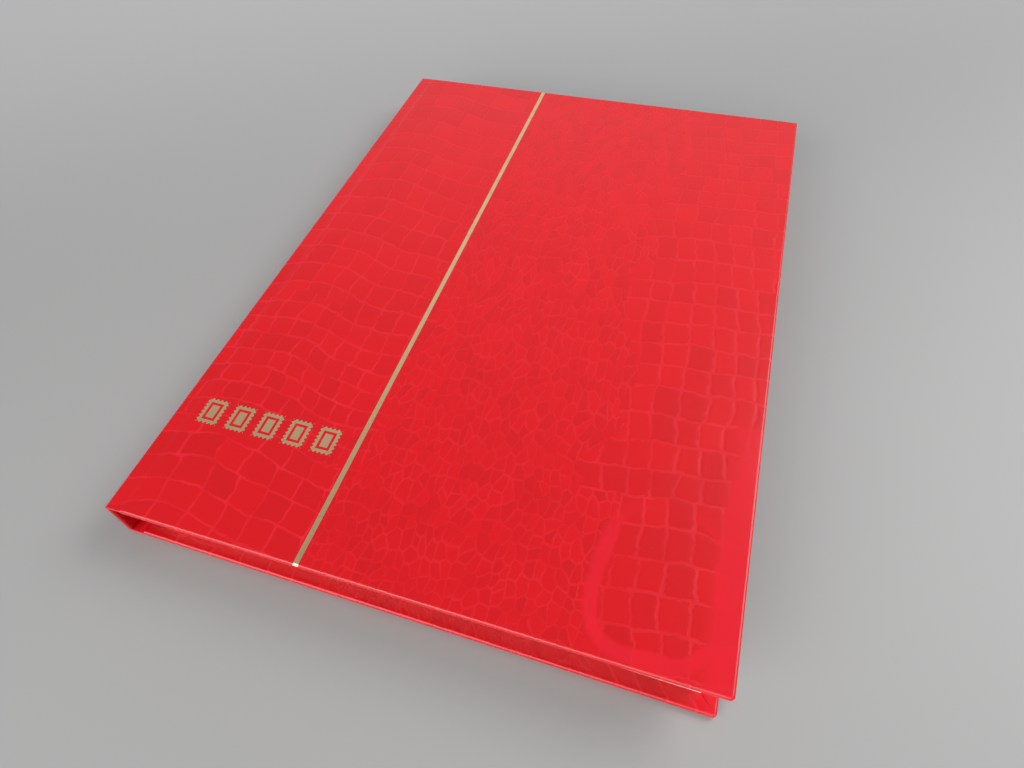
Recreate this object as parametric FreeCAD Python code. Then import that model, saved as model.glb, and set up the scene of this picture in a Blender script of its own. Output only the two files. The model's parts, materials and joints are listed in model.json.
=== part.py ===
import FreeCAD, Part
import os

# A large stock album lying shut on its back cover: a leatherette case of two boards and a spine,
# and hinged card leaves that carry rows of open-topped glassine pockets on both faces.
# Lengths are millimetres. While a piece is built, x runs from the spine face to the fore-edge,
# y from the tail to the head, and z up from the table. The origin moves to the middle at the end.

# Case
cover_width = 226.0     # spine face to fore-edge
cover_height = 310.0    # tail to head
board = 2.2             # cover board
spine_board = 1.5       # card strip stiffening the spine
leatherette = 0.4       # covering sheet
pastedown = 0.15        # endpaper on the inside of a cover
turn_in = 15.0          # covering folded over on to the inside
mitre_gap = 0.3         # open seam where two turn-ins meet at a corner
edge_radius = 0.9       # rounding of the wrapped edges
corner_radius = 1.4     # rounding of a cover corner, seen from above
gape = 1.7              # degrees the shut front cover stands open

# Joints between spine and covers
joint_width = 7.0       # spine face to the edge of a cover panel
groove = 0.6            # joint strip set back from the cover face
board_setback = 0.3     # board edge behind the edge of its cover panel
hem_end = 0.5           # plain sheet left beside a fold where the hem stops
fold_gap = 0.1          # running clearance round a folded edge
spine_gap = 0.3         # spine board clear of the hems

# Foil line on the front cover
stripe_offset = 79.7    # spine face to the middle of the line
stripe_width = 2.0
stripe_recess = 0.1
foil = 0.05

# Binding
leaf_count = 16
lining = 0.3            # cloth glued down the inside of the spine
guard = 0.4             # folded cloth stub that holds a leaf
guard_reach = 1.0       # shortest stub, next to a cover
leaf_gap = 0.18         # free space between shut leaves
stack_gap = 0.08        # free space between leaves laid open
end_gap = 0.22          # extra space next to each cover

# Leaves
page_inset = 6.0        # cover edge to page edge
hinge_cloth = 0.2       # linen strip that a leaf turns on
hinge_lap = 5.0         # linen glued under the card
card_start = 13.0       # spine face to the inner edge of the card
card = 0.4

# Pockets
film = 0.06             # glassine
pocket_room = 0.07      # space for a stamp
seal = 2.0              # glued margin along three sides of a pocket
pocket_depth = 27.0
pocket_space = 4.3      # bare card between two rows
pocket_margin = 5.0     # hinge or page edge to the pocket ends
page_margin = 8.0       # least margin above and below the rows

# Heights through one cover, and the folds of the case
panel = leatherette + board
cover = panel + pastedown
edge_round = min(edge_radius, 2.5 * leatherette)
pocket = film + pocket_room
pocket_pitch = pocket_depth + pocket_space
leaf_low = min(-hinge_cloth / 2, hinge_cloth / 2 - pocket)
leaf_high = hinge_cloth / 2 + card + pocket
leaf_pitch = leaf_high - leaf_low + leaf_gap
roof_step = leaf_high - leaf_low + stack_gap
spine_depth = 2 * (cover + end_gap) + leaf_count * leaf_pitch
fold_x = leatherette / 2
fold_z = groove + leatherette / 2
spine_base = fold_z + 1.5 * leatherette + spine_gap
cloth_face = leatherette + spine_board + lining
board_edge = joint_width + board_setback
page_end = cover_width - page_inset

along_y = FreeCAD.Vector(0, 1, 0)
opening = FreeCAD.Vector(0, -1, 0)    # a turn about this axis lifts the fore-edge
to_origin = FreeCAD.Vector(-cover_width / 2, -cover_height / 2, 0)


def point(x, z, y=0.0):
    return FreeCAD.Vector(x, y, z)


def block(x0, x1, y0, y1, z0, z1):
    corner = FreeCAD.Vector(x0, y0, z0)
    return Part.makeBox(x1 - x0, y1 - y0, z1 - z0, corner)


def rod(x, z, radius):
    return Part.makeCylinder(radius, cover_height, point(x, z), along_y)


def long_profile(points):
    # A closed outline across the album, drawn out from tail to head.
    outline = Part.makePolygon(points + points[:1])
    return Part.Face(outline).extrude(along_y * cover_height)


def edges_at(shape, test):
    return [edge for edge in shape.Edges if all(test(vertex.Point) for vertex in edge.Vertexes)]


def opened(shape, axis_point, degrees):
    return shape.rotated(axis_point, opening, degrees)


def to_front(shape):
    # The front cover is the back cover seen in a mirror halfway up the spine.
    return shape.mirror(point(0, spine_depth / 2), FreeCAD.Vector(0, 0, 1))


def gaping(shape):
    return opened(to_front(shape), point(fold_x, spine_depth - fold_z), gape)


def export(name, shape):
    moved = shape.translated(to_origin)
    moved.exportStep("parts/" + name + ".step")


# The cover pieces below are drawn as the back cover, with the outer face on the table.

def cover_board():
    # The inner face is stepped, because the turn-ins are pressed flush into it.
    inner = leatherette
    wide = block(board_edge, cover_width - inner, inner, cover_height - inner, inner, board)
    fore_corners = edges_at(wide, lambda p: p.x > cover_width - 2 * inner)
    uprights = [edge for edge in fore_corners if edge.BoundBox.ZLength > board / 2]
    wide = wide.makeFillet(corner_radius - inner, uprights)
    raised = block(board_edge, cover_width - turn_in, turn_in, cover_height - turn_in, inner, panel)
    return wide.fuse(raised).removeSplitter()


def wrapped_outline():
    # Outer shape of a wrapped cover, rounded at the head, tail and fore-edge.
    whole = block(joint_width, cover_width, 0, cover_height, 0, panel)
    fore_corners = edges_at(whole, lambda p: p.x > cover_width - edge_round)
    uprights = [edge for edge in fore_corners if edge.BoundBox.ZLength > panel / 2]
    whole = whole.makeFillet(corner_radius, uprights)
    rims = []
    for edge in whole.Edges:
        flat = edge.BoundBox.ZLength < edge_round
        if flat and edge.BoundBox.XMax > joint_width + edge_round:
            rims.append(edge)
    return whole.makeFillet(edge_round, rims)


def mitre_seams(shape):
    # Diagonal seams where the head and tail turn-ins meet the fore-edge turn-in.
    length = 2 * turn_in
    for tail, turn in ((True, 135), (False, 225)):
        seam = block(0, length, -mitre_gap / 2, mitre_gap / 2, panel - leatherette, panel)
        seam.rotate(FreeCAD.Vector(0, 0, 0), FreeCAD.Vector(0, 0, 1), turn)
        start_y = leatherette if tail else cover_height - leatherette
        seam.translate(FreeCAD.Vector(cover_width - leatherette, start_y, 0))
        shape = shape.cut(seam)
    return shape


def wrapped_panel():
    # Covering of one board, without its joint: the sheet, its wrapped edges and its turn-ins.
    bare_edge = block(joint_width, board_edge, 0, cover_height, leatherette, panel)
    wrap = wrapped_outline().cut(cover_board()).cut(bare_edge)
    return mitre_seams(wrap)


def back_sheet():
    # The back panel runs on over a step into its joint strip, and ends in the folded edge.
    step = groove + leatherette
    strip = long_profile([
        point(fold_x, groove),
        point(joint_width - groove, groove),
        point(joint_width, 0),
        point(joint_width, leatherette),
        point(joint_width - groove, step),
        point(fold_x, step),
    ])
    sheet = wrapped_panel().fuse([strip, rod(fold_x, fold_z, leatherette / 2)] + hems())
    return sheet.removeSplitter()


def hems():
    # The strip is folded double at the head and tail.
    top = groove + leatherette
    start = fold_x + leatherette / 2 + hem_end
    end = joint_width - groove - hem_end
    tail = block(start, end, 0, turn_in, top, top + leatherette)
    head = block(start, end, cover_height - turn_in, cover_height, top, top + leatherette)
    return [tail, head]


def front_strip():
    # Joint strip of the front cover, a panel of its own between two folds.
    strip = block(fold_x, joint_width - fold_gap, 0, cover_height, groove, groove + leatherette)
    return strip.fuse([rod(fold_x, fold_z, leatherette / 2)] + hems()).removeSplitter()


def stripe_bed(depth):
    left = stripe_offset - stripe_width / 2
    ends = edge_round + leatherette
    return block(left, left + stripe_width, ends, cover_height - ends, depth, stripe_recess)


def front_sheet():
    sheet = wrapped_panel().cut(stripe_bed(0))
    return sheet.fuse(rod(joint_width, leatherette / 2, leatherette / 2)).removeSplitter()


def pasted_sheet():
    high = cover_height - page_inset
    return block(board_edge, page_end, page_inset, high, panel, cover)


# Spine

def spine_strip():
    # Thinned at both ends, where the turn-ins are pressed flush into it.
    top = spine_depth - spine_base
    inner = leatherette
    thin = block(inner, spine_board, inner, cover_height - inner, spine_base, top)
    thick = block(inner, inner + spine_board, turn_in, cover_height - turn_in, spine_base, top)
    return thin.fuse(thick).removeSplitter()


def spine_sheet():
    # The sheet stops short of the folded edges of both joints, which it turns about.
    low = fold_z + leatherette / 2 + fold_gap
    sheet = block(0, leatherette, 0, cover_height, low, spine_depth - low)
    corners = edges_at(sheet, lambda p: p.x < leatherette / 2)
    corners = [edge for edge in corners if edge.BoundBox.ZLength > spine_depth / 2]
    sheet = sheet.makeFillet(min(edge_round, 0.75 * leatherette), corners)
    wrap = block(leatherette, leatherette + spine_board, 0, cover_height,
                 spine_base, spine_depth - spine_base)
    return sheet.fuse(wrap.cut(spine_strip())).removeSplitter()


# Leaves, counted from the back cover upwards in a fan that fills the gape

def leaf_axis(level):
    # The stubs lengthen by one leaf towards the middle, so that an opened stack lies flat.
    from_cover = min(level, leaf_count - 1 - level)
    x = cloth_face + guard_reach + hinge_cloth / 2 + fold_gap + roof_step * from_cover
    z = cover + end_gap + leaf_pitch * level - leaf_low
    return point(x, z)


def guards():
    stubs = []
    for level in range(leaf_count):
        axis = leaf_axis(level)
        tip = axis.x - hinge_cloth / 2 - fold_gap
        low = axis.z - guard / 2
        stub = block(cloth_face, tip, page_inset, cover_height - page_inset, low, low + guard)
        stubs.append(stub)
    return Part.makeCompound(stubs)


def lining_cloth():
    low = leaf_axis(0).z - guard / 2
    high = leaf_axis(leaf_count - 1).z + guard / 2
    start = leatherette + spine_board
    return block(start, cloth_face, page_inset, cover_height - page_inset, low, high)


def linen_hinge(axis):
    half = hinge_cloth / 2
    length = cover_height - 2 * page_inset
    fold = Part.makeCylinder(half, length, point(axis.x, axis.z, page_inset), along_y)
    flat = block(axis.x, card_start + hinge_lap, page_inset, page_inset + length,
                 axis.z - half, axis.z + half)
    return flat.fuse(fold).removeSplitter()


def page_card(axis):
    under = axis.z + hinge_cloth / 2
    return block(card_start, page_end, page_inset, cover_height - page_inset, under, under + card)


def pocket_strip(tail, face, side):
    # A film held off the page by its glued margins, open towards the head.
    left = card_start + hinge_lap + pocket_margin
    right = page_end - pocket_margin
    head = tail + pocket_depth
    strip = block(left, right, tail, head, 0, pocket)
    strip = strip.cut(block(left + seal, right - seal, tail + seal, head, 0, pocket_room))
    if side < 0:
        strip = strip.mirror(FreeCAD.Vector(0, 0, 0), FreeCAD.Vector(0, 0, 1))
    return strip.translated(FreeCAD.Vector(0, 0, face))


def page_pockets(axis):
    page = cover_height - 2 * page_inset
    rows = int((page - 2 * page_margin - pocket_depth) / pocket_pitch) + 1
    used = (rows - 1) * pocket_pitch + pocket_depth
    first = page_inset + (page - used) / 2
    back_face = axis.z + hinge_cloth / 2
    strips = []
    for row in range(rows):
        tail = first + row * pocket_pitch
        strips.append(pocket_strip(tail, back_face, -1))
        strips.append(pocket_strip(tail, back_face + card, 1))
    return Part.makeCompound(strips)


def export_leaf(level):
    axis = leaf_axis(level)
    lift = gape * (level + 1) / (leaf_count + 1)
    name = "leaf_%02d" % (leaf_count - level)
    export(name, opened(page_card(axis), axis, lift))
    export(name + "_hinge", opened(linen_hinge(axis), axis, lift))
    export(name + "_pockets", opened(page_pockets(axis), axis, lift))


os.makedirs("parts", exist_ok=True)

export("back_board", cover_board())
export("back_covering", back_sheet())
export("back_pastedown", pasted_sheet())

export("spine_board", spine_strip())
export("spine_covering", spine_sheet())
export("spine_lining", lining_cloth())
export("guards", guards())

export("front_joint", gaping(front_strip()))
export("front_board", gaping(cover_board()))
export("front_covering", gaping(front_sheet()))
export("front_pastedown", gaping(pasted_sheet()))
export("foil_line", gaping(stripe_bed(stripe_recess - foil)))

for level in range(leaf_count):
    export_leaf(level)
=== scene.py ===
import json
import math
import bpy
import numpy as np
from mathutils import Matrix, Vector


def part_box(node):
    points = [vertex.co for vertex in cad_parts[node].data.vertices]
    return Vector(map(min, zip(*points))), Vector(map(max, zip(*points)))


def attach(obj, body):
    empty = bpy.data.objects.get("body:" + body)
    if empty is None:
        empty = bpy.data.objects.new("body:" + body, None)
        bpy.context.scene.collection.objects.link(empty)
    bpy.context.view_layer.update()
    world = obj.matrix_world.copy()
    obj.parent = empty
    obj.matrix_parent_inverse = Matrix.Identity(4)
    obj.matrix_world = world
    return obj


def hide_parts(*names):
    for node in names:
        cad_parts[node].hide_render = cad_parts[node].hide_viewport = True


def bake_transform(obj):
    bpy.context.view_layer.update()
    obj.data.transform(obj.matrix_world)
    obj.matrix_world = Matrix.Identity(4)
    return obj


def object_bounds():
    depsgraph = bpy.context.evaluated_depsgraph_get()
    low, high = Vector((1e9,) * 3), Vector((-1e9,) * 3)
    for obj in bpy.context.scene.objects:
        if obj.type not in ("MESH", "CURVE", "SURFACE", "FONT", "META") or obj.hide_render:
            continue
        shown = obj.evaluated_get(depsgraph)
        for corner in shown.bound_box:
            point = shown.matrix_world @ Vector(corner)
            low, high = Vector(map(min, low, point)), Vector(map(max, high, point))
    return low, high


# A stock album lying shut on a table: red embossed covers, a foil line, and pocket leaves inside.
# Shapes are worked out in millimetres, x from the spine face, y from the tail and depth under a
# cover's outer face, and go into the meshes in metres, in the frame's own axes.

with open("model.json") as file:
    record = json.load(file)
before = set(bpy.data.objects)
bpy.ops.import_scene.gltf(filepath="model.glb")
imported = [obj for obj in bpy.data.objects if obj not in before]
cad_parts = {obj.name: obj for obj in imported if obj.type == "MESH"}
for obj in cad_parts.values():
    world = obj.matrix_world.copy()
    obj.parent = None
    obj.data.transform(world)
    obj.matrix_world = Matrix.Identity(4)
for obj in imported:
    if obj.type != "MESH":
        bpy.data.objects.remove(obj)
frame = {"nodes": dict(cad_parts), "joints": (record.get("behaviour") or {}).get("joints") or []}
cadLow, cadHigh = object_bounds()
axes = {hinge["name"]: hinge["pos_m"] for hinge in frame["joints"]}
mm = 0.001


def measured(low, high):
    # the sides of a box in millimetres
    return [(b - a) / mm for a, b in zip(low, high)]


backSize = measured(*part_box("back_covering"))
case = {
    "width": backSize[0],                 # spine face to fore-edge
    "height": backSize[1],                # tail to head
    "thick": backSize[2],                 # one wrapped cover
    "spine": (axes["album_opening"][2] + axes["front_joint_fold"][2]) / mm,
    "gape": 1.7,                          # degrees that the front cover stands open
    "edge": 1.1,                          # rounding of the wrapped edges
    "thinEdge": 0.45,                     # the same on a thin hem, as a share of its depth at most
    "corner": 1.4,                        # rounding of the fore corners, from above
    "turnIn": 15.0,                       # leather folded over to the inside
    "endTurnIn": 13.0,                    # and at the ends of spine and joints
    "seam": 0.12,                         # half the open mitre seam
    "crease": 0.55,                       # tuck at the fore corners
    "creaseSpread": 0.16,                 # radians
    "creaseDepth": (0.2, 0.5),            # it sets in between these shares of the thickness
    "step": 2.5,                          # mesh step on the flat faces
    "flapStep": 3.0,                      # and on the turn-ins
}
joint = {
    "depth": 0.4,                         # groove floor under the cover face
    "top": 8.8,                           # where the slope into the groove starts
    "floor": 5.6,                         # where it reaches the floor
    "panel": 7.8,                         # the cover panel's own leather starts here
    "split": 3.6,                         # the two bending pieces meet on the groove floor
    "spineSide": 3.1,                     # leather as near as this stands up with the spine
    "shoulder": 1.2,                      # rounding over to the spine
    "spineEnd": 4.0,                      # leather of the shoulder, down the spine
    "hem": 0.8,                           # folded edge at head and tail, two sheets
    "toPanel": (6.6, 7.6),                # where it thickens into the cover panel
    "toSpine": 0.6,                       # and into the spine, before the shoulder ends
    "sheet": 0.4,                         # thickness of the leather
    "bend": 1.9,                          # spread each side of the spine's fold, worked out for a bend that is not made
    "swingBend": 0.8,                     # and of the fold that the front cover swings on, likewise not used
}
count = {                                 # mesh points along a stretch
    "level": 3,
    "quarter": 9,                         # a quarter round of a folded edge
    "wall": 4,
    "slope": 6,
    "groove": 25,
    "shoulder": 15,
    "strip": 8,                           # each side of the shoulder
    "spine": 12,
    "ribbon": 5,
    "ribbonEnd": 14,
}
print("frame loaded, cover %.0f x %.0f mm" % (case["width"], case["height"]))


# Shader sockets as values

class Wire:
    # One output socket. Arithmetic with numbers or other wires adds Math nodes.
    def __init__(self, tree, socket=None):
        self.tree = tree
        self.socket = socket

    def node(self, kind, settings=None, sockets=None, outlet=0):
        made = self.tree.nodes.new("ShaderNode" + kind)
        for name, value in (settings or {}).items():
            setattr(made, name, value)
        for name, value in (sockets or {}).items():
            if isinstance(value, Wire):
                self.tree.links.new(value.socket, made.inputs[name])
            else:
                made.inputs[name].default_value = value
        return Wire(self.tree, made.outputs[outlet] if made.outputs else None)

    def op(self, operation, *values):
        return self.node("Math", {"operation": operation}, dict(enumerate(values)))

    def __add__(self, other):
        return self.op("ADD", self, other)

    __radd__ = __add__

    def __sub__(self, other):
        return self.op("SUBTRACT", self, other)

    def __rsub__(self, other):
        return self.op("SUBTRACT", other, self)

    def __mul__(self, other):
        return self.op("MULTIPLY", self, other)

    __rmul__ = __mul__

    def __truediv__(self, other):
        return self.op("DIVIDE", self, other)

    def __rtruediv__(self, other):
        return self.op("DIVIDE", other, self)

    def ramp(self, low, high):
        # 0 below low, 1 above high, smooth between; low may be the larger one
        ends = {"Value": self, "From Min": low, "From Max": high}
        return self.node("MapRange", {"interpolation_type": "SMOOTHSTEP"}, ends)

    def past(self, edge):
        # 0 before the edge, 1 past it, over one millimetre
        return self.ramp(edge - 0.5, edge + 0.5)

    def lerp(self, first, second):
        # first where this wire is 0, second where it is 1
        return self.node("Mix", {"data_type": "FLOAT"}, {0: self, 2: first, 3: second})

    def tint(self, first, second):
        # the same for colours
        return self.node("Mix", {"data_type": "RGBA"}, {0: self, 6: first, 7: second}, 2)

    def offset(self, other):
        return self.node("VectorMath", {"operation": "ADD"}, {0: self, 1: other})

    def scaled(self, x, y, z):
        return self.node("VectorMath", {"operation": "MULTIPLY"}, {0: self, 1: (x, y, z)})

    def part(self, name):
        return self.node("SeparateXYZ", None, {0: self}, name)

    def noise(self, size, detail=2.0, outlet="Fac"):
        grain = {"Vector": self, "Scale": 1 / size, "Detail": detail}
        return self.node("TexNoise", None, grain, outlet)


def weighed(wires, weights):
    # the wires added up, each times its weight
    return sum(wires[name] * weight for name, weight in weights.items())


def newFinish(name):
    made = bpy.data.materials.new(name)
    made.use_nodes = True
    made.node_tree.nodes.clear()
    return made, Wire(made.node_tree)


def shade(wire, sockets):
    # closes a finish with one Principled shader
    surface = wire.node("BsdfPrincipled", None, sockets)
    wire.node("OutputMaterial", None, {"Surface": surface})


def raised(wire, height, depth):
    # bump of a height from 0 to 1, depth in millimetres
    return wire.node("Bump", None, {"Height": height, "Distance": depth * mm}, "Normal")


def objectMillimetres(wire):
    place = wire.node("TexCoord", outlet="Object")
    return place.scaled(1 / mm, 1 / mm, 1 / mm)


leather = {
    "red": (0.81, 0.004, 0.010, 1),
    "deep": (0.51, 0.003, 0.007, 1),
    "line": (0.88, 0.019, 0.043, 1),      # paler red in the pressed lines, partly a painted reflection off their sloping sides
    "rough": 0.21,
    "gloss": 0.5,
    "depth": 0.05,                        # of the embossing
    "pores": 0.9,                         # size of the grain
    "blotch": 60,                         # and of the clouds in the colour
    "tail": (330, -60),                   # painted shade: a deeper red towards the tail
    # shares of what deepens the red, pales it, stands up and dulls the gloss
    "deepens": {"own": 0.22, "blotch": 0.2, "tail": 0.5},
    "pales": {"line": 0.52, "worn": 0.35},
    "rises": {"dome": 0.75, "pores": 0.05, "own": 0.18, "line": -0.25},
    "dulls": {"line": 0.14, "pores": 0.05, "blotch": 0.05, "worn": -0.05},
}
emboss = {
    "mirror": -12.0,                      # the print runs alike to both sides of the spine's middle
    "wander": (38, 1.0, 9.0),             # lines wander slowly and curl: size, detail and reach
    "curl": (6, 2.0, 3.0),
    "sway": (30, 3.0),                    # the borders of the regions wander too: size and detail
    "swayReach": 64,
    "swayCalm": 0.3,                      # share of it round the block by the tail
    "swayHead": 0.5,                      # and where the print grows faint
    "smooth": (213, 219),                 # pressed smooth beside the fore-edge
    "smoothTail": (96, 80),               # near the tail
    "faint": (160, 260),                  # fainter towards the head
    "faintLine": 0.6,
    "faintDome": 0.4,
    "press": (12, 3.0),                   # lines fade here and there: size and detail
    "pressEdge": (0.3, 0.68),
    "pressShare": 0.75,
    "pressLeast": 0.15,
    "wornLine": 0.9,                      # share of a line lost where the sheet is smooth
    "lineFloor": -0.1,                    # just short of full in a line's middle
    "meet": 1.1,                          # rounding where two lines of a net meet
}
bank = {                                  # spine side: large scales
    "arch": (25, 26, 9),                  # rows arch up: how far from the spine, half width, height
    "rows": (0.068, 55, 60, 2.6),         # to a millimetre; more crowded: where, how wide, how many
    "column": 10.6,
    "fan": (0.00028, 0.055),              # columns narrow away from the spine, by the tail
    "fanTop": 79.5,                       # up to here, where the belt hides the change
    "size": (11.6, 11.0),                 # width and height of a scale
    "jog": 0.34,                          # how far a row is pushed sideways at most, in columns
    "half": 0.80,                         # half width of a pressed line
    "firm": 1.1,                          # its strength
    "dome": 2.4,                          # how far in from the line a scale still rises
}
belt = {                                  # a belt of smaller scales across them
    "span": (50.5, 115.5),
    "size": (9.0, 8.4),
    "jog": 0.55,
}
body = {                                  # middle: small round scales, longer towards the head
    "start": 79.0,
    "wide": 3.7,
    "rows": (0.105, 0, 70, 5.2),
    "loose": 0.80,                        # 0 in rows, 1 at random
    "half": 0.52,
    "firm": 0.64,
    "dome": 1.6,
}
flank = {                                 # fore-edge side: a square net
    "start": 170.0,
    "tilt": 0.09,                         # rows rise towards the fore-edge
    "rows": (0.084, 165, 24, -0.45),
    "lean": 0.009,                        # columns lean towards the spine
    "size": (9.3, 12.0),
    "jog": 0.30,
    "half": 0.95,
    "firm": 0.74,
}
block = {                                 # a rounded block of the net by the tail
    "middle": (198.5, 30.0),
    "half": (17.5, 24.0),
    "round": 11.0,
    "side": 179.0,                        # the net starts here beside it
    "top": 57.0,                          # up to here
    "bandIn": (-0.8, 0.8),                # a smooth band runs round it
    "bandOut": (6.5, 3.5),
    "bandTop": (60, 36),                  # open towards the head
}


def net(wire, u, v, size, jog):
    # a net of rows and columns with each row pushed sideways a little: distance to the nearest
    # line in millimetres, and a value of its own for each scale
    row = wire.op("FLOOR", v)
    push = wire.node("TexWhiteNoise", {"noise_dimensions": "1D"}, {"W": row})
    u = u + push * jog
    column = wire.op("FLOOR", u)
    lines = []
    for place, whole, length in zip((u, v), (column, row), size):
        share = place - whole
        lines.append(wire.op("MINIMUM", share, 1 - share) * length)
    border = wire.op("SMOOTH_MIN", *lines, emboss["meet"])
    cell = wire.node("CombineXYZ", None, {"X": column, "Y": row})
    own = wire.node("TexWhiteNoise", {"noise_dimensions": "2D"}, {"Vector": cell})
    return border, own


def scales(wire, u, v, wide, loose):
    # round scales: distance to the nearest border in millimetres, and a value for each scale
    cell = wire.node("CombineXYZ", None, {"X": u, "Y": v})
    sockets = {"Vector": cell, "Scale": 1.0, "Randomness": loose}

    def cells(feature, outlet):
        options = {"voronoi_dimensions": "2D", "feature": feature}
        return wire.node("TexVoronoi", options, sockets, outlet)

    return cells("DISTANCE_TO_EDGE", "Distance") * wide, cells("F1", "Color").part("X")


def drift(sheet, size, detail, reach):
    # noise about zero on both axes, half the reach each way at most
    centred = sheet.noise(size, detail, "Color").offset((-0.5, -0.5, -0.5))
    return centred.scaled(reach, reach, 0)


def counted(wire, along, rate, middle, width, more):
    # rows counted along the sheet: so many to a millimetre, and more (or fewer) about the middle,
    # crowded by a tanh of that width
    return along * rate + wire.op("TANH", (along - middle) / width) * more


def fromBlock(wire, u, v):
    # distance outside the rounded block: how far past its inner box, less its rounding
    squares = 0
    for place, middle, half in zip((u, v), block["middle"], block["half"]):
        reach = wire.op("ABSOLUTE", place - middle) - (half - block["round"])
        reach = wire.op("MAXIMUM", reach, 0)
        squares = reach * reach + squares
    return wire.op("SQRT", squares) - block["round"]


def leatherFinish():
    made, wire = newFinish("embossedLeatherette")
    sheet = wire.node("UVMap", {"uv_map": "sheet"})
    x = wire.op("ABSOLUTE", sheet.part("X") - emboss["mirror"]) + emboss["mirror"]
    y = sheet.part("Y")
    moved = drift(sheet, *emboss["wander"]).offset(drift(sheet, *emboss["curl"]))
    u = x + moved.part("X")
    v = y + moved.part("Y")
    sway = sheet.noise(*emboss["sway"]) * emboss["swayReach"] - emboss["swayReach"] / 2
    across, along = x + sway, y + sway
    calm = y + sway * emboss["swayCalm"]

    # spine side: rows that arch up near the spine, crossed by the belt
    archPlace, archHalf, archHigh = bank["arch"]
    off = (x - archPlace) / archHalf
    lift = v - wire.op("EXPONENT", 0 - off * off) * archHigh
    rows = counted(wire, lift, *bank["rows"])
    fan = u * (u * bank["fan"][0] + bank["fan"][1])
    columns = along.past(bank["fanTop"]).lerp(fan, u / bank["column"])
    bankLine, bankOwn = net(wire, columns, rows, bank["size"], bank["jog"])
    beltLine, beltOwn = net(wire, u / belt["size"][0], rows, belt["size"], belt["jog"])
    inBelt = along.past(belt["span"][0]) - along.past(belt["span"][1])

    # middle and fore-edge side
    bodyRows = counted(wire, v, *body["rows"])
    bodyLine, bodyOwn = scales(wire, u / body["wide"], bodyRows, body["wide"], body["loose"])
    courses = counted(wire, v - u * flank["tilt"], *flank["rows"])
    leaning = u / flank["size"][0] + v * flank["lean"]
    flankLine, flankOwn = net(wire, leaning, courses, flank["size"], flank["jog"])
    inBody = across.past(body["start"])
    inFlank = calm.past(block["top"]).lerp(u.past(block["side"]), across.past(flank["start"]))

    def byRegion(spineSide, middle, foreSide):
        return inFlank.lerp(inBody.lerp(spineSide, middle), foreSide)

    border = byRegion(inBelt.lerp(bankLine, beltLine), bodyLine, flankLine)
    own = byRegion(inBelt.lerp(bankOwn, beltOwn), bodyOwn, flankOwn)
    half = byRegion(bank["half"], body["half"], flank["half"])
    firm = byRegion(bank["firm"], body["firm"], flank["firm"])

    # where the sheet is smooth, where the print is faint, and what is left of the lines
    outside = fromBlock(wire, u, v)
    band = outside.ramp(*block["bandIn"]) * outside.ramp(*block["bandOut"])
    band = band * calm.ramp(*block["bandTop"])
    smooth = x.ramp(*emboss["smooth"]) * along.ramp(*emboss["smoothTail"])
    worn = wire.op("MAXIMUM", smooth, band)
    toHead = (y + sway * emboss["swayHead"]).ramp(*emboss["faint"])
    press = sheet.noise(*emboss["press"]).ramp(*emboss["pressEdge"])
    press = press * emboss["pressShare"] + emboss["pressLeast"]
    firm = firm * (1 - toHead * emboss["faintLine"]) * (1 - worn * emboss["wornLine"])
    line = border.ramp(half, emboss["lineFloor"]) * press * firm
    dome = border.ramp(0.0, inBody.lerp(bank["dome"], body["dome"]))
    dome = dome * (1 - toHead * emboss["faintDome"]) * (1 - worn)

    looks = {
        "own": own,
        "line": line,
        "worn": worn,
        "dome": dome,
        "pores": sheet.noise(leather["pores"]),
        "blotch": sheet.noise(leather["blotch"]),
        # painted shade: this ramp deepens the red towards the tail
        "tail": y.ramp(*leather["tail"]),
    }
    colour = weighed(looks, leather["deepens"]).tint(leather["red"], leather["deep"])
    shade(wire, {
        # the paler, pinker lines are the pressed pattern, partly with a painted reflection on them
        "Base Color": weighed(looks, leather["pales"]).tint(colour, leather["line"]),
        "Roughness": weighed(looks, leather["dulls"]) + leather["rough"],
        "Normal": raised(wire, weighed(looks, leather["rises"]), leather["depth"]),
        "Specular IOR Level": leather["gloss"],
    })
    return made


foil = {
    "gold": (0.98, 0.70, 0.39, 1),
    "dull": (0.86, 0.60, 0.33, 1),
    "rough": 0.30,
    "speck": 0.7,                         # fine specks, and how matt they are
    "speckRough": 0.18,
    "patch": 5.0,                         # worn patches
    "patchEdge": (0.45, 0.75),
    "patchRough": 0.10,
    "pale": (-195, 45),                   # painted light: paler and more matt from the tail towards the head, standing in for a brighter reflection there
    "matt": 0.28,
}


def foilFinish():
    made, wire = newFinish("stampedFoil")
    place = objectMillimetres(wire)
    speck = place.noise(foil["speck"], detail=3.0)
    worn = place.noise(foil["patch"], detail=3.0).ramp(*foil["patchEdge"])
    rough = speck * foil["speckRough"] + worn * foil["patchRough"] + foil["rough"]
    # painted light: the foil turns less metallic, and so paler, towards the head
    toHead = place.part("Y").ramp(*foil["pale"])
    shade(wire, {
        "Base Color": worn.tint(foil["gold"], foil["dull"]),
        "Metallic": 1 - toHead * foil["matt"],
        "Roughness": rough,
    })
    return made


board = {
    "grey": (0.36, 0.34, 0.31, 1),
    "pale": (0.50, 0.48, 0.44, 1),
    "fleck": (0.20, 0.19, 0.17, 1),
    "fibre": 0.8,                         # size, drawn out along the board and thin in its depth
    "fibreStretch": (1, 0.25, 3),
    "fibreEdge": (0.3, 0.7),
    "fleckSize": 1.1,
    "fleckEdge": (0.62, 0.72),
    "fleckShare": 0.6,
    "rough": (0.75, 0.95),
    "depth": 0.08,
    "gloss": 0.25,
}


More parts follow.
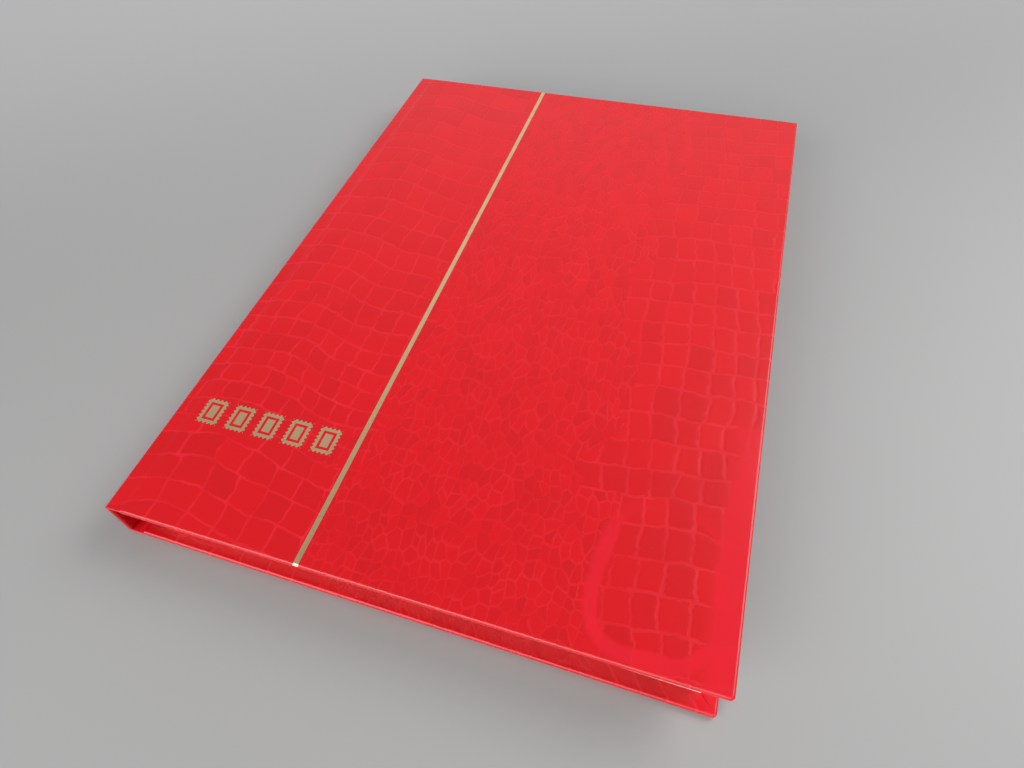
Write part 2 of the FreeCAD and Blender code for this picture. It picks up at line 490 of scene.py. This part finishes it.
def boardFinish():
    made, wire = newFinish("greyboard")
    place = objectMillimetres(wire)
    fibre = place.scaled(*board["fibreStretch"]).noise(board["fibre"], detail=4.0)
    fleck = place.noise(board["fleckSize"]).ramp(*board["fleckEdge"])
    colour = fibre.ramp(*board["fibreEdge"]).tint(board["grey"], board["pale"])
    shade(wire, {
        "Base Color": (fleck * board["fleckShare"]).tint(colour, board["fleck"]),
        "Roughness": fibre.lerp(*board["rough"]),
        "Normal": raised(wire, fibre, board["depth"]),
        "Specular IOR Level": board["gloss"],
    })
    return made


paper = {
    "cream": (0.80, 0.77, 0.69, 1),
    "shade": (0.785, 0.752, 0.67, 1),
    "fibre": (0.84, 0.815, 0.75, 1),
    "rough": 0.78,
    "depth": 0.03,
}
card = {
    "cream": (0.88, 0.865, 0.815, 1),
    "shade": (0.84, 0.82, 0.765, 1),
    "fibre": (0.91, 0.90, 0.87, 1),
    "rough": 0.62,
    "depth": 0.02,
}
pulp = {                                  # alike in both
    "cloud": 16.0,
    "cloudEdge": (0.3, 0.75),
    "fibre": 0.5,
    "fibreStretch": (1, 0.3, 1),
    "fibreEdge": (0.55, 0.75),
    "fibreShare": 0.6,
    "tooth": 0.25,
    "toothRough": 0.12,
    "rises": {"tooth": 0.6, "fibre": 0.4},
    "gloss": 0.3,
}


def paperFinish(name, tones):
    # uncoated sheet: cloudy formation, short fibres and a faint tooth
    made, wire = newFinish(name)
    place = objectMillimetres(wire)
    cloud = place.noise(pulp["cloud"], detail=4.0)
    fibre = place.scaled(*pulp["fibreStretch"]).noise(pulp["fibre"], detail=4.0)
    tooth = place.noise(pulp["tooth"])
    colour = cloud.ramp(*pulp["cloudEdge"]).tint(tones["cream"], tones["shade"])
    strands = fibre.ramp(*pulp["fibreEdge"]) * pulp["fibreShare"]
    height = weighed({"tooth": tooth, "fibre": fibre}, pulp["rises"])
    shade(wire, {
        "Base Color": strands.tint(colour, tones["fibre"]),
        "Roughness": tooth * pulp["toothRough"] + tones["rough"],
        "Normal": raised(wire, height, tones["depth"]),
        "Specular IOR Level": pulp["gloss"],
    })
    return made


linen = {
    "thread": (0.80, 0.78, 0.71, 1),
    "gap": (0.50, 0.47, 0.40, 1),
    "gapEdge": (0.15, 0.7),
    "pitch": 0.42,                        # once over and once under
    "slub": 2.2,                          # uneven threads, and how far they stray, in radians
    "slubStray": 0.5,
    "rough": (0.9, 0.8),                  # in the gaps and on the threads
    "depth": 0.06,
    "gloss": 0.2,
}


def linenFinish():
    # plain weave: two rows of threads, over and under by turns
    made, wire = newFinish("linenTape")
    place = objectMillimetres(wire)
    turn = 2 * math.pi / linen["pitch"]
    slub = place.noise(linen["slub"]) * linen["slubStray"]
    along, across = (wire.op("SINE", place.part(axis) * turn + slub) for axis in "XY")
    weave = along * across * 0.5 + 0.5                    # 0 to 1
    shade(wire, {
        "Base Color": weave.ramp(*linen["gapEdge"]).tint(linen["gap"], linen["thread"]),
        "Roughness": weave.lerp(*linen["rough"]),
        "Normal": raised(wire, weave, linen["depth"]),
        "Specular IOR Level": linen["gloss"],
    })
    return made


pocketLow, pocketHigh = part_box("leaf_01_pockets")
glassine = {
    "film": (0.90, 0.905, 0.885, 1),
    "cloud": (0.925, 0.925, 0.905, 1),
    "cloudSize": 11.0,
    "cloudEdge": (0.3, 0.7),
    "crease": 9.0,                        # size of the faint creases along the pockets
    "creaseStretch": (1, 4, 1),
    "opaque": (0.42, 0.45),               # where it is clear, and in the clouds
    "glue": 0.14,                         # added where the film is glued down
    "lip": 0.30,                          # and along the open edge
    "rows": 9,
    "deep": 27.0,                         # one pocket
    "lipEdge": (26.5, 26.7),              # its open edge
    "sealEdge": (2.1, 1.9),               # its glued lower margin
    "slack": 0.001,                       # share of a row, so that no edge falls to the row below
    "rough": (0.16, 0.31),
    "depth": 0.25,
    "gloss": 0.5,
}


def glassineFinish():
    # thin film, a little milky in soft clouds, with faint creases; each row of pockets is denser
    # along the glued margin below and along the open edge above
    made, wire = newFinish("glassinePocket")
    place = objectMillimetres(wire)
    milk = place.noise(glassine["cloudSize"], detail=3.0).ramp(*glassine["cloudEdge"])
    crease = place.scaled(*glassine["creaseStretch"]).noise(glassine["crease"])
    span = measured(pocketLow, pocketHigh)[1]
    pitch = (span - glassine["deep"]) / (glassine["rows"] - 1)
    height = place.part("Y") - pocketLow[1] / mm
    height = height - wire.op("FLOOR", height / pitch + glassine["slack"]) * pitch
    glued = height.ramp(*glassine["sealEdge"]) * glassine["glue"]
    lip = height.ramp(*glassine["lipEdge"]) * glassine["lip"]
    shade(wire, {
        "Base Color": milk.tint(glassine["film"], glassine["cloud"]),
        "Roughness": crease.lerp(*glassine["rough"]),
        "Alpha": milk.lerp(*glassine["opaque"]) + glued + lip,
        "Normal": raised(wire, crease, glassine["depth"]),
        "Specular IOR Level": glassine["gloss"],
    })
    return made


finishes = {
    "leatherette": leatherFinish(),
    "foil": foilFinish(),
    "greyboard": boardFinish(),
    "endpaper": paperFinish("endpaper", paper),
    "page_card": paperFinish("pageCard", card),
    "linen": linenFinish(),
    "glassine": glassineFinish(),
}
print("finishes made:", ", ".join(finishes))


# Meshes from grids

def gridFaces(rows, columns, start=0, flip=False):
    # four corners of every cell of a grid, as vertex numbers
    index = start + np.arange(rows * columns).reshape(rows, columns)
    corners = [index[:-1, :-1], index[1:, :-1], index[1:, 1:], index[:-1, 1:]]
    if flip:
        corners.reverse()
    return np.stack([corner.ravel() for corner in corners], axis=1)


def eased(value, low, high):
    # 0 below low, 1 above high, and 3 t squared less 2 t cubed between
    share = np.clip((value - low) / (high - low), 0, 1)
    return share * share * (3 - 2 * share)


def steps(low, high, step):
    # even places from low to high, a step apart at most
    return np.linspace(low, high, int(math.ceil((high - low) / step)) + 1)


def spread(u, v):
    # two rows of places made one grid
    return np.meshgrid(u, v, indexing="ij")


def placed(points, front):
    # from cover axes (x, y, depth under the outer face) to the frame, in metres; the front cover is
    # turned open about its fold, fading out down the spine, which stands upright
    x, y, depth = points[..., 0], points[..., 1], points[..., 2]
    z = depth
    if front:
        foldX = (axes["front_joint_fold"][0] - cadLow[0]) / mm
        foldZ = axes["front_joint_fold"][2] / mm
        down = eased(depth, joint["depth"] + joint["shoulder"], joint["spineEnd"])
        turn = math.radians(case["gape"]) * (1 - (x < joint["spineSide"]) * down)
        rx, rz = x - foldX, case["spine"] - depth - foldZ
        x = foldX + rx * np.cos(turn) - rz * np.sin(turn)
        z = foldZ + rx * np.sin(turn) + rz * np.cos(turn)
    row = np.stack([x - case["width"] / 2, y - case["height"] / 2, z], axis=-1)
    return row * mm


def addPiece(name, grids, slotNames):
    # grids: (points in metres, flat sheet coordinates, flip, number of the slot) each
    mesh = bpy.data.meshes.new(name)
    points, flats, faces, kinds = [], [], [], []
    start = 0
    for place, flat, flip, kind in grids:
        rows, columns = place.shape[:2]
        faces.append(gridFaces(rows, columns, start, flip))
        kinds.append(np.full(len(faces[-1]), kind))
        points.append(place.reshape(-1, 3))
        flats.append(flat.reshape(-1, 2))
        start += rows * columns
    points = np.concatenate(points)
    flats = np.concatenate(flats)
    faces = np.concatenate(faces)
    mesh.vertices.add(len(points))
    mesh.vertices.foreach_set("co", points.astype(np.float32).ravel())
    mesh.loops.add(faces.size)
    mesh.loops.foreach_set("vertex_index", faces.astype(np.int32).ravel())
    mesh.polygons.add(len(faces))
    mesh.polygons.foreach_set("loop_start", np.arange(0, faces.size, 4, dtype=np.int32))
    mesh.polygons.foreach_set("material_index", np.concatenate(kinds).astype(np.int32))
    sheet = mesh.uv_layers.new(name="sheet")
    sheet.uv.foreach_set("vector", flats[faces.ravel()].astype(np.float32).ravel())
    mesh.update(calc_edges=True)
    mesh.shade_smooth()
    for slotName in slotNames:
        mesh.materials.append(finishes[slotName])
    made = bpy.data.objects.new(name, mesh)
    bpy.context.scene.collection.objects.link(made)
    return made


def edgeProfile(run, edge, thick, flat, lift=0.0):
    # a sheet folded round a board: level for flat, a quarter round, the wall, a second quarter
    # round, then back inwards; run is the length along the sheet, lift raises it off the board
    quarter = edge * math.pi / 2
    wall = thick - 2 * edge
    first = np.clip((run - flat) / edge, 0, math.pi / 2)
    second = np.clip((run - flat - quarter - wall) / edge, 0, math.pi / 2)
    down = np.clip(run - flat - quarter, 0, wall)
    inward = np.maximum(run - flat - 2 * quarter - wall, 0)
    full = edge + lift
    reach = np.minimum(run, flat) + full * np.sin(first) - full * (1 - np.cos(second)) - inward
    depth = edge - full * np.cos(first) + down + full * np.sin(second)
    return reach, depth


def foldRuns(edge, thick, flat):
    # places along the fold where the mesh has its rows, as far inwards as it is flat at first
    quarter = (edge * math.pi / 2, count["quarter"])
    level = (flat, count["level"])
    runs = [np.zeros(1)]
    for length, number in (level, quarter, (thick - 2 * edge, count["wall"]), quarter, level):
        if length > 0:
            runs.append(runs[-1][-1] + np.linspace(0, length, number)[1:])
    return np.concatenate(runs)


def grooveDepth(x):
    # smooth slope from the cover face down to the groove floor
    return joint["depth"] * eased(-x, -joint["top"], -joint["floor"])


def coverPoints(u, v, lift=0.0):
    # the covering of one board as a function of flat sheet coordinates: past the corner centres the
    # sheet follows the edge profile, and at a corner the profile turns about the centre, creased
    # inwards along the mitre on its lower half, where the folded sheet is tucked in
    corner = case["corner"]
    over = np.maximum(u - (case["width"] - corner), 0)
    tail = np.maximum(corner - v, 0)
    head = np.maximum(v - (case["height"] - corner), 0)
    side = tail + head
    run = np.maximum(over, side)
    share = np.minimum(over, side) / np.maximum(run, 1e-9)
    angle = np.where(over >= side, share, 2 - share) * math.pi / 4
    reach, depth = edgeProfile(run, case["edge"], case["thick"], corner - case["edge"], lift)
    pinch = np.exp(-((angle - math.pi / 4) / case["creaseSpread"]) ** 2)
    low, high = (level * case["thick"] for level in case["creaseDepth"])
    reach = reach - case["crease"] * pinch * eased(depth, low, high)
    x = np.minimum(u, case["width"] - corner) + reach * np.cos(angle)
    y = np.clip(v, corner, case["height"] - corner) + np.sign(head - tail) * reach * np.sin(angle)
    depth = depth + grooveDepth(u) * (1 - depth / case["thick"])
    return np.stack([x, y, depth], axis=-1)


def turnInGrid(side, uFlat, vFlat, ends):
    # a flat flap on the inside, cut at 45 degrees where it meets its neighbour; ends is the length
    # of sheet in the fold before it
    corner = case["corner"]
    depth = steps(0, case["turnIn"] - corner, case["flapStep"])
    low, high = corner, case["height"] - corner
    if side == "fore":
        s, v = spread(depth, vFlat)
        cut = s + case["seam"] * (s > 0)
        x = case["width"] - corner - s
        y = low + cut + (v - low) * (1 - 2 * cut / (high - low))
        flat = np.stack([case["width"] - corner + ends + s, v], axis=-1)
    else:
        u, s = spread(uFlat, depth[::-1] if side == "tail" else depth)
        cut = s + case["seam"] * (s > 0)
        start, end = uFlat[0], uFlat[-1]
        x = start + (u - start) * (1 - cut / (end - start))
        y = low + s if side == "tail" else high - s
        v = low - ends - s if side == "tail" else high + ends + s
        flat = np.stack([u, v], axis=-1)
    return np.stack([x, y, np.full_like(x, case["thick"])], axis=-1), flat


waves = {
    "across": (0.05, 17),                 # height, and length over two pi
    "bend": (0.8, 41),                    # this wave strays by so many radians along the album
    "along": (0.04, 23),
    "slant": 60,
    "margin": 4,                          # still along the edges
    "fade": 12,
    "sink": 0.09,                         # keeps the crests under the flat face
}


def ripple(points):
    # the glued sheet isn't quite flat: two slow waves, a few hundredths of a millimetre
    x, y = points[..., 0], points[..., 1]
    bent = waves["bend"][0] * np.sin(y / waves["bend"][1])
    wave = waves["across"][0] * np.sin(x / waves["across"][1] + bent)
    wave = wave + waves["along"][0] * np.sin(y / waves["along"][1] + x / waves["slant"])
    foreEdge, head = case["width"] - waves["margin"], case["height"] - waves["margin"]
    inside = points[..., 2] < case["thick"] / 2
    for room in (foreEdge - x, y - waves["margin"], head - y, x - joint["top"]):
        inside = inside * np.clip(room / waves["fade"], 0, 1)
    moved = points.copy()
    moved[..., 2] += (wave + waves["sink"]) * inside
    return moved


def foldStations(inward):
    # how far a folded end has got: first quarter turn, share of the wall, second quarter turn, and
    # way back in
    turn = np.linspace(0, math.pi / 2, count["quarter"])[1:]
    share = np.linspace(0, 1, count["wall"])[1:]
    parts = (turn, share, turn, share * inward)
    stations = np.zeros((len(parts), sum(len(values) for values in parts)))
    start = 0
    for row, values in enumerate(parts):
        stations[row, start:] = values[-1]
        stations[row, start:start + len(values)] = values
        start += len(values)
    return stations


def foldedStrip(x, depth, sheetPlace, thick, upright=False):
    # a profile across the album carried from tail to head, its ends folded over to the inside; the
    # fold lies square to the profile, or upright, and thick is its depth at each point
    slope = np.stack([np.gradient(x), np.gradient(depth) * (not upright)], axis=-1)
    slope = slope / np.linalg.norm(slope, axis=-1, keepdims=True)
    thick = (thick + 0 * x)[:, None]
    edge = np.minimum(case["edge"], case["thinEdge"] * thick)
    first, share, second, back = foldStations(case["endTurnIn"])[:, None, :]
    wall = share * (thick - 2 * edge)
    reach = edge * np.sin(first) - edge * (1 - np.cos(second)) - back
    drop = edge * (1 - np.cos(first)) + wall + edge * np.sin(second)
    length = edge * (first + second) + wall + back
    level = steps(0, 1, case["step"] / case["height"])[None, :]
    flat = edge + (case["height"] - 2 * edge) * level
    high = case["height"] - edge
    y = np.concatenate([(edge - reach)[:, ::-1], flat, high + reach], axis=1)
    v = np.concatenate([(edge - length)[:, ::-1], flat, high + length], axis=1)
    drop = np.concatenate([drop[:, ::-1], 0 * flat, drop], axis=1)

    def below(fall, y):
        return np.stack([
            x[:, None] - slope[:, 1:] * fall,
            y,
            depth[:, None] + slope[:, :1] * fall,
        ], axis=-1)

    def onSheet(v):
        return np.stack([sheetPlace[:, None] + 0 * v, v], axis=-1)

    lining = below(joint["sheet"] + 0 * flat, flat)
    return below(drop, y), onSheet(v), lining, onSheet(flat)


def shoulderProfile():
    # up the spine, a quarter round over the shoulder, then along the groove floor
    radius = joint["shoulder"]
    floor = joint["depth"]
    turn = np.linspace(0, math.pi / 2, count["shoulder"])
    rise = np.linspace(joint["spineEnd"], floor + radius, count["strip"])[:-1]
    strip = np.linspace(radius, joint["split"], count["strip"])[1:]
    x = np.concatenate([0 * rise, radius * (1 - np.cos(turn)), strip])
    depth = np.concatenate([rise, floor + radius * (1 - np.sin(turn)), 0 * strip + floor])
    length = np.concatenate([[0], np.cumsum(np.hypot(np.diff(x), np.diff(depth)))])
    return x, depth, joint["split"] - length[-1] + length


def sheetAcross(place, front):
    # the case is covered by one sheet, so the back cover's pattern carries on past the spine
    spineEnd = shoulderProfile()[2][0]
    span = case["spine"] - 2 * joint["spineEnd"]
    return place if front else 2 * spineEnd - span - place


def caseGrid(points, flat, front, flip, kind=0):
    # a grid in cover axes made ready for addPiece; the back cover is a mirror image
    sheet = np.stack([sheetAcross(flat[..., 0], front), flat[..., 1]], axis=-1)
    return placed(points, front), sheet, flip == front, kind


def coverPiece(name, front):
    # the face with its wrapped edges as one grid, and three flaps on the inside
    corner = case["corner"]
    runs = foldRuns(case["edge"], case["thick"], corner - case["edge"])[1:]
    vFlat = steps(corner, case["height"] - corner, case["step"])
    slope = np.linspace(joint["panel"], joint["top"], count["slope"])
    uFlat = np.concatenate([slope[:-1], steps(joint["top"], case["width"] - corner, case["step"])])
    u = np.concatenate([uFlat, uFlat[-1] + runs])
    v = np.concatenate([vFlat[0] - runs[::-1], vFlat, vFlat[-1] + runs])
    across, along = spread(u, v)
    points = ripple(coverPoints(across, along))
    grids = [caseGrid(points, np.stack([across, along], axis=-1), front, False)]
    for side in ("fore", "tail", "head"):
        flap, flat = turnInGrid(side, uFlat, vFlat, runs[-1])
        grids.append(caseGrid(flap, flat, front, False))
    return addPiece(name, grids, ["leatherette"])


def stripPiece(name, x, depth, place, thick, front, upright=False):
    # a folded strip and the paper that lines it
    points, sheet, lining, innerSheet = foldedStrip(x, depth, place, thick, upright)
    grids = [
        caseGrid(points, sheet, front, False),
        caseGrid(lining, innerSheet, front, True, 1),
    ]
    return addPiece(name, grids, ["leatherette", "endpaper"])


def jointPiece(name, front):
    # from the groove floor up the slope, its folded ends thickening into the cover panel
    x = np.linspace(joint["split"], joint["panel"], count["groove"])
    depth = grooveDepth(x)
    full = case["thick"] - depth
    thick = joint["hem"] + (full - joint["hem"]) * eased(x, *joint["toPanel"])
    return stripPiece(name, x, depth, x, thick, front, upright=True)


spineThick = measured(cadLow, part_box("spine_board")[1])[0]


def shoulderPiece(name, front):
    # the shoulder's profile, its folded ends thickening into the spine
    x, depth, place = shoulderProfile()
    low = joint["depth"] + joint["shoulder"]
    share = eased(depth, low - joint["toSpine"], low)
    thick = joint["hem"] + (spineThick - joint["hem"]) * share
    return stripPiece(name, x, depth, place, thick, front)


def spinePiece(name):
    # the flat of the spine between the shoulders, folded over the spine board at head and tail
    depth = np.linspace(case["spine"] - joint["spineEnd"], joint["spineEnd"], count["spine"])
    place = shoulderProfile()[2][0] - (depth - joint["spineEnd"])
    points, sheet = foldedStrip(0 * depth, depth, place, spineThick)[:2]
    row = points - np.array([case["width"] / 2, case["height"] / 2, 0])
    row[..., 2] = case["spine"] - points[..., 2]
    return addPiece(name, [(row * mm, sheet, True, 0)], ["leatherette"])


def inFrame(x, depth, front):
    # a point of a cover at half its height, in the frame
    return placed(np.array([x, case["height"] / 2, depth]), front).tolist()


def bendOverSpine(piece, front):
    # the ends of a bend, from down the spine to as far along the groove, are worked out but not
    # used; the piece is only baked in place
    floor = joint["depth"]
    start = inFrame(0, floor + joint["bend"], front)
    end = inFrame(joint["bend"], floor, front)
    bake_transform(piece)


frontLeather = coverPiece("frontLeather", True)
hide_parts("front_covering")
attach(frontLeather, "front_cover")
backLeather = coverPiece("backLeather", False)
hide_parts("back_covering")
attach(backLeather, "back_cover")

spineLeather = spinePiece("spineLeather")
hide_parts("spine_covering")
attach(spineLeather, "spine")

frontJoint = jointPiece("frontJointLeather", True)
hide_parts("front_joint")
swing = (axes["front_cover_swing"][0] - cadLow[0]) / mm
inFrame(swing - joint["swingBend"], 0, True)
inFrame(swing + joint["swingBend"], 0, True)
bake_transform(frontJoint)
backJoint = jointPiece("backJointLeather", False)
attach(backJoint, "back_cover")

bendOverSpine(shoulderPiece("frontShoulderLeather", True), True)
bendOverSpine(shoulderPiece("backShoulderLeather", False), False)
print("leather wrapped round covers, joints and spine")


# Foil

foilLow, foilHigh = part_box("foil_line")
stripe = {
    "middle": 79.7,                       # from the spine face
    "width": measured(foilLow, foilHigh)[0],
    "over": 1.6,                          # carried on round the edges at head and tail
    "lift": 0.03,
}


def foilLine():
    # a ribbon on the cover sheet, round both edges with it
    half = stripe["width"] / 2
    corner = case["corner"]
    u = stripe["middle"] + np.linspace(-half, half, count["ribbon"])
    flat = steps(corner, case["height"] - corner, case["step"])
    over = np.linspace(0, stripe["over"], count["ribbonEnd"])[1:]
    v = np.concatenate([corner - over[::-1], flat, flat[-1] + over])
    across, along = spread(u, v)
    points = ripple(coverPoints(across, along, stripe["lift"]))
    grid = caseGrid(points, np.stack([across, along], axis=-1), True, False)
    return addPiece("foilRibbon", [grid], ["foil"])


mark = {
    "left": 11.0,                         # row of small stamp outlines, from the spine face
    "low": 42.5,                          # and from the tail
    "count": 5,
    "wide": 9.4,
    "high": 12.0,
    "gap": 3.4,
    "frame": 1.9,
    "inset": 3.0,                         # from the edge to the picture panel
    "teeth": (5, 7),                      # perforations along the short and the long side
    "bite": 0.75,
    "samples": 10,                        # mesh points for each
    "lift": 0.03,                         # on top of the ribbon's, over the cover's coarser mesh
}


def stampOutline(wide, high, bite):
    # a rectangle whose sides are scalloped inwards by a raised cosine, once for each perforation
    sides = []
    for length, teeth in zip((wide, high) * 2, mark["teeth"] * 2):
        number = teeth * mark["samples"]
        t = np.arange(number) / number
        sides.append((t * length, bite * (0.5 - 0.5 * np.cos(2 * math.pi * teeth * t))))
    (ax, ai), (bx, bi), (cx, ci), (dx, di) = sides
    x = np.concatenate([ax, wide - bi, wide - cx, di])
    y = np.concatenate([ai, bx, high - ci, high - dx])
    return np.stack([x, y])


def foilMark():
    # each stamp is a ring between the scalloped outline and a plain window, with a panel inside
    wide, high = mark["wide"], mark["high"]

    def outline(inset, bite):
        return stampOutline(wide - 2 * inset, high - 2 * inset, bite) + inset

    middle = np.array([[wide / 2], [high / 2]])
    panel = outline(mark["inset"], 0)
    rings = [(outline(mark["frame"], 0), outline(0, mark["bite"])), (0 * panel + middle, panel)]
    grids = []
    for number in range(mark["count"]):
        corner = np.array([[mark["left"] + number * (wide + mark["gap"])], [mark["low"]]])
        for first, last in rings:
            ring = np.stack([first + corner, last + corner], axis=1)
            ring = np.concatenate([ring, ring[:, :, :1]], axis=2)
            flat = np.moveaxis(ring, 0, -1)
            points = ripple(coverPoints(flat[..., 0], flat[..., 1], stripe["lift"]))
            points[..., 2] -= mark["lift"]
            grids.append(caseGrid(points, flat, True, True))
    return addPiece("foilStampRow", grids, ["foil"])


ribbon = foilLine()
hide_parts("foil_line")
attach(ribbon, "front_cover")
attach(foilMark(), "front_cover")
print("foil laid on the front cover")


# Finishes of the solids that keep their shape

slotEndings = {
    "_board": "greyboard",
    "_pastedown": "endpaper",
    "_pockets": "glassine",
    "_hinge": "linen",
    "_lining": "linen",
    "guards": "linen",
}


def slotOf(name):
    for ending, slotName in slotEndings.items():
        if name.endswith(ending):
            return slotName
    return "page_card"


for name, solid in frame["nodes"].items():
    if not solid.hide_render:
        solid.data.materials.clear()
        solid.data.materials.append(finishes[slotOf(name)])
print("solids finished")


# Table, light and camera

table = {
    "grey": (0.345, 0.343, 0.338, 1),
    "light": (0.365, 0.363, 0.358, 1),
    "cloud": 180,
    "beyond": (0.535, 0.535, 0.535, 1),   # painted light: the table paler past the album, to the left
    "behind": (-0.6, 0.8),                # that way, between these distances
    "behindFade": (80, 540),
    "pale": (0.80, 0.797, 0.79, 1),       # far from the album, where less light falls
    "fade": (900, 2800),                  # millimetres from the album
    "size": 12.0,                         # metres
    "under": 0.0002,                      # clear of the back cover
    "rough": 0.5,
}


def tableTop():
    made, wire = newFinish("table")
    place = objectMillimetres(wire)
    cloud = place.noise(table["cloud"], detail=3.0)
    away = wire.node("VectorMath", {"operation": "LENGTH"}, {0: place}, "Value")
    behind = place.part("X") * table["behind"][0] + place.part("Y") * table["behind"][1]
    colour = cloud.tint(table["grey"], table["light"])
    # painted light: paler towards the far left of the table, past the album
    colour = behind.ramp(*table["behindFade"]).tint(colour, table["beyond"])
    shade(wire, {
        "Base Color": away.ramp(*table["fade"]).tint(colour, table["pale"]),
        "Roughness": table["rough"],
    })
    half = table["size"] / 2
    side = np.linspace(-half, half, 3)
    u, v = spread(side, side)
    mesh = bpy.data.meshes.new("tableTop")
    points = np.stack([u, v, 0 * u - table["under"]], axis=-1).reshape(-1, 3)
    mesh.from_pydata(points.tolist(), [], gridFaces(3, 3).tolist())
    mesh.materials.append(made)
    top = bpy.data.objects.new("tableTop", mesh)
    bpy.context.scene.collection.objects.link(top)


lights = {
    "near": (0.24, 0.243, 0.248, 1),      # the room on the viewer's side, and beyond the album
    "far": (0.57, 0.585, 0.61, 1),
    "change": (0.3, 1.0),                 # from one to the other, by the direction's y
    # each lamp is aimed at the album: place, width, height, watts, spread in degrees
    "lamps": {
        "mainLight": ((0.95, -0.55, 1.30), 1.2, 1.2, 4.4, 180),
        "rightLight": ((1.02, 0.76, 1.14), 1.2, 1.0, 7.0, 110),
        "windowLight": ((-0.45, -1.24, 0.64), 2.0, 1.0, 10.2, 100),
    },
}


def areaLight(name, place, wide, high, watts, degrees):
    lamp = bpy.data.lights.new(name, "AREA")
    lamp.shape = "RECTANGLE"
    lamp.size = wide
    lamp.size_y = high
    lamp.energy = watts
    lamp.spread = math.radians(degrees)
    made = bpy.data.objects.new(name, lamp)
    made.location = place
    made.rotation_mode = "QUATERNION"
    made.rotation_quaternion = (-Vector(place)).to_track_quat("-Z", "Y")
    bpy.context.scene.collection.objects.link(made)


def studio():
    # a soft room, paler beyond the album than on the viewer's side, and the lamps
    world = bpy.data.worlds.new("softRoom")
    bpy.context.scene.world = world
    world.use_nodes = True
    world.node_tree.nodes.clear()
    wire = Wire(world.node_tree)
    beyond = wire.node("TexCoord", outlet="Generated").part("Y").ramp(*lights["change"])
    sky = wire.node("Background", None, {"Color": beyond.tint(lights["near"], lights["far"])})
    wire.node("OutputWorld", None, {"Surface": sky})
    for name, setting in lights["lamps"].items():
        areaLight(name, *setting)


camera = {
    "place": (67.385, -213.973, 240.212),  # millimetres in the frame
    "turn": (36.79, 1.1479, 17.5033),      # degrees about x, y, z
    "lens": 23.4731,
    "sensor": 36.0,
    "nearest": 0.01,
}


def photoCamera():
    lens = bpy.data.cameras.new("photoCamera")
    lens.lens = camera["lens"]
    lens.sensor_width = camera["sensor"]
    lens.clip_start = camera["nearest"]
    made = bpy.data.objects.new("photoCamera", lens)
    made.location = [value * mm for value in camera["place"]]
    made.rotation_euler = [math.radians(value) for value in camera["turn"]]
    bpy.context.scene.collection.objects.link(made)
    bpy.context.scene.camera = made


tableTop()
studio()
photoCamera()
bpy.context.scene.view_settings.view_transform = "Standard"
print("table, light and camera set")
